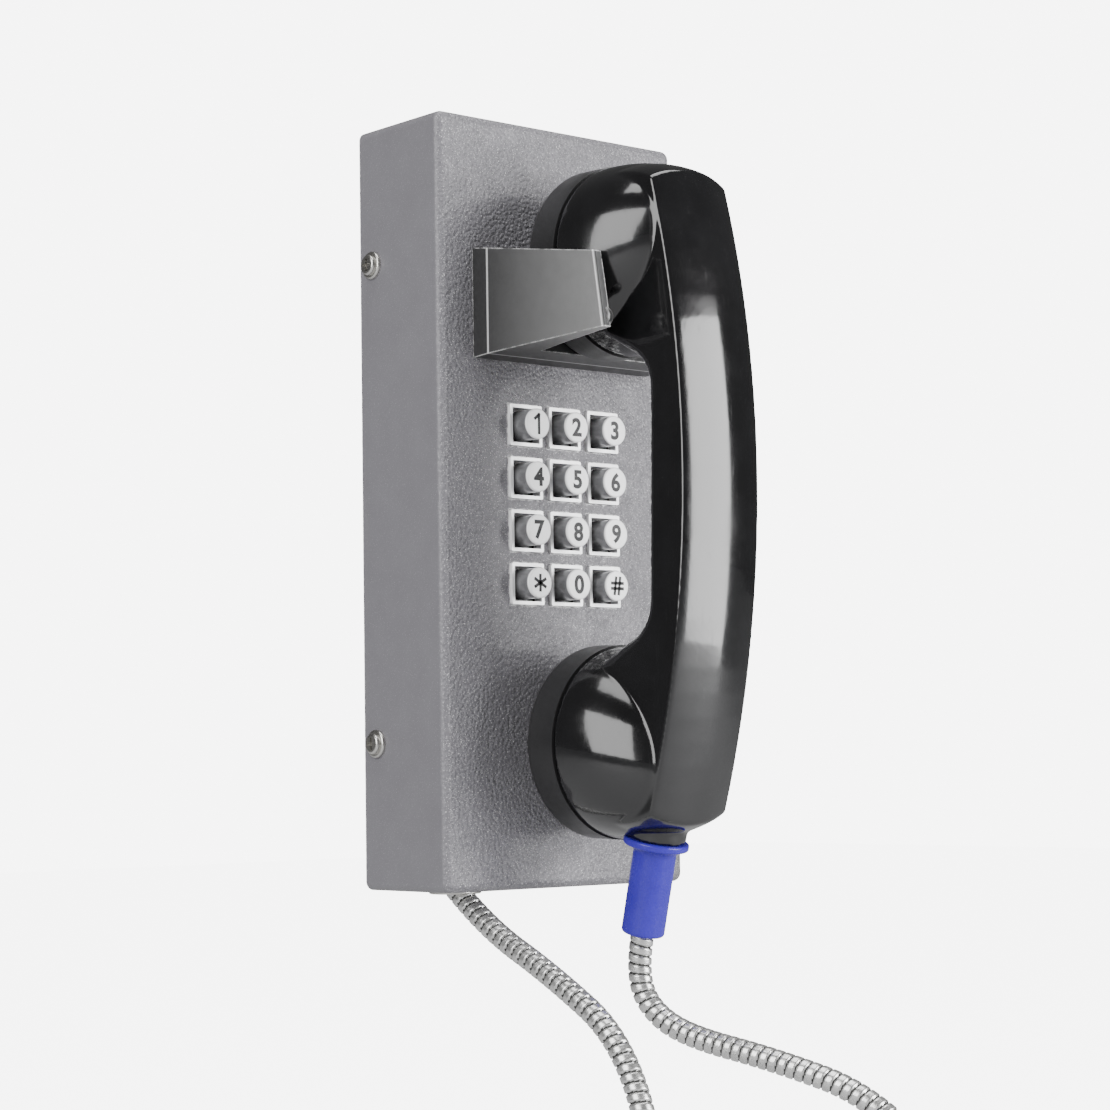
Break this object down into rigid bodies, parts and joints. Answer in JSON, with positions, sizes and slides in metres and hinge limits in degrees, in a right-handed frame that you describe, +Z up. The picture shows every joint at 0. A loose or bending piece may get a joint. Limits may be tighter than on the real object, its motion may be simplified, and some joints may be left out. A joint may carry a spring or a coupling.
{
  "type": "wall payphone",
  "caption": "Compact wall telephone: flat steel housing, two-horn cradle, round-button keypad and a handset on an armoured cord.",
  "frame": {"origin": "centre of the four wall screw holes, on the rear face of the back plate that meets the wall", "axes": "+X to the right seen from the front, +Y into the wall, +Z up"},
  "size_m": [0.1124, 0.1824, 0.4804],
  "materials": {
    "housing_paint": "grey hammertone powder coat",
    "zinc_plate": "zinc-plated sheet",
    "black_rubber": "matt rubber",
    "screw_steel": "plain stainless steel",
    "spring_steel": "spring steel strip",
    "cradle_metal": "satin grey die casting",
    "lever_metal": "satin steel",
    "keypad_chrome": "bright plating",
    "key_chrome": "bright plating with dark numerals",
    "mat_silicone": "matt silicone",
    "circuit_board": "green solder mask",
    "dark_plastic": "matt black moulding",
    "terminal_green": "matt green moulding",
    "cable_grey": "matt grey sheath",
    "armour_steel": "interlocked stainless strip",
    "handset_black": "gloss black moulding",
    "cap_black": "satin black moulding",
    "boot_blue": "glossy blue flexible plastic"
  },
  "bodies": {
    "housing": {"front_cover": "housing_paint", "back_plate": "zinc_plate", "cover_seal": "black_rubber", "side_screws": "screw_steel", "screw_cups": "screw_steel", "threaded_inserts": "screw_steel", "line_grommet": "black_rubber", "cradle": "cradle_metal", "cradle_screws": "screw_steel", "lever_pin": "screw_steel", "lever_spring": "spring_steel", "hook_microswitch": "dark_plastic", "switch_bracket": "zinc_plate", "bracket_nuts": "screw_steel", "switch_screws": "screw_steel", "keypad_frame": "keypad_chrome", "key_guide": "dark_plastic", "key_mat": "mat_silicone", "keypad_spacers": "screw_steel", "keypad_board": "circuit_board", "keypad_nuts": "screw_steel", "main_board": "circuit_board", "board_screws": "screw_steel", "board_parts": "dark_plastic", "terminal_block": "terminal_green", "keypad_ribbon": "cable_grey", "cord_bushing": "screw_steel", "bushing_nut": "screw_steel", "cord_collet": "screw_steel", "handset_harness": "cable_grey", "armoured_cord": "armour_steel"},
    "handset": {"handset_shell": "handset_black", "ear_cap": "cap_black", "mouth_cap": "cap_black", "receiver_capsule": "dark_plastic", "microphone_capsule": "dark_plastic", "capsule_pads": "mat_silicone", "handset_boot": "boot_blue", "boot_ferrule": "screw_steel"},
    "hook_lever": {"hook_lever": "lever_metal"},
    "key_1": {"key_1": "key_chrome"},
    "key_2": {"key_2": "key_chrome"},
    "key_3": {"key_3": "key_chrome"},
    "key_4": {"key_4": "key_chrome"},
    "key_5": {"key_5": "key_chrome"},
    "key_6": {"key_6": "key_chrome"},
    "key_7": {"key_7": "key_chrome"},
    "key_8": {"key_8": "key_chrome"},
    "key_9": {"key_9": "key_chrome"},
    "key_star": {"key_star": "key_chrome"},
    "key_0": {"key_0": "key_chrome"},
    "key_hash": {"key_hash": "key_chrome"}
  },
  "joints": [
    {"name": "handset_lift", "type": "slide", "parent": "housing", "child": "handset", "axis": [0, -0.5, 0.866], "range_m": [0, 0.06]},
    {"name": "hook_lever_turn", "type": "hinge", "parent": "housing", "child": "hook_lever", "pos_m": [0, -0.05, 0.057], "axis": [1, 0, 0], "range_deg": [0, 8.3]},
    {"name": "key_1_press", "type": "slide", "parent": "housing", "child": "key_1", "axis": [0, 1, 0], "range_m": [0, 0.0012], "stiffness_N_per_m": 800},
    {"name": "key_2_press", "type": "slide", "parent": "housing", "child": "key_2", "axis": [0, 1, 0], "range_m": [0, 0.0012], "stiffness_N_per_m": 800},
    {"name": "key_3_press", "type": "slide", "parent": "housing", "child": "key_3", "axis": [0, 1, 0], "range_m": [0, 0.0012], "stiffness_N_per_m": 800},
    {"name": "key_4_press", "type": "slide", "parent": "housing", "child": "key_4", "axis": [0, 1, 0], "range_m": [0, 0.0012], "stiffness_N_per_m": 800},
    {"name": "key_5_press", "type": "slide", "parent": "housing", "child": "key_5", "axis": [0, 1, 0], "range_m": [0, 0.0012], "stiffness_N_per_m": 800},
    {"name": "key_6_press", "type": "slide", "parent": "housing", "child": "key_6", "axis": [0, 1, 0], "range_m": [0, 0.0012], "stiffness_N_per_m": 800},
    {"name": "key_7_press", "type": "slide", "parent": "housing", "child": "key_7", "axis": [0, 1, 0], "range_m": [0, 0.0012], "stiffness_N_per_m": 800},
    {"name": "key_8_press", "type": "slide", "parent": "housing", "child": "key_8", "axis": [0, 1, 0], "range_m": [0, 0.0012], "stiffness_N_per_m": 800},
    {"name": "key_9_press", "type": "slide", "parent": "housing", "child": "key_9", "axis": [0, 1, 0], "range_m": [0, 0.0012], "stiffness_N_per_m": 800},
    {"name": "key_star_press", "type": "slide", "parent": "housing", "child": "key_star", "axis": [0, 1, 0], "range_m": [0, 0.0012], "stiffness_N_per_m": 800},
    {"name": "key_0_press", "type": "slide", "parent": "housing", "child": "key_0", "axis": [0, 1, 0], "range_m": [0, 0.0012], "stiffness_N_per_m": 800},
    {"name": "key_hash_press", "type": "slide", "parent": "housing", "child": "key_hash", "axis": [0, 1, 0], "range_m": [0, 0.0012], "stiffness_N_per_m": 800}
  ],
  "couplings": [
    {"joint": "hook_lever_turn", "follows": "handset_lift", "rad_per_m": 2.412}
  ]
}
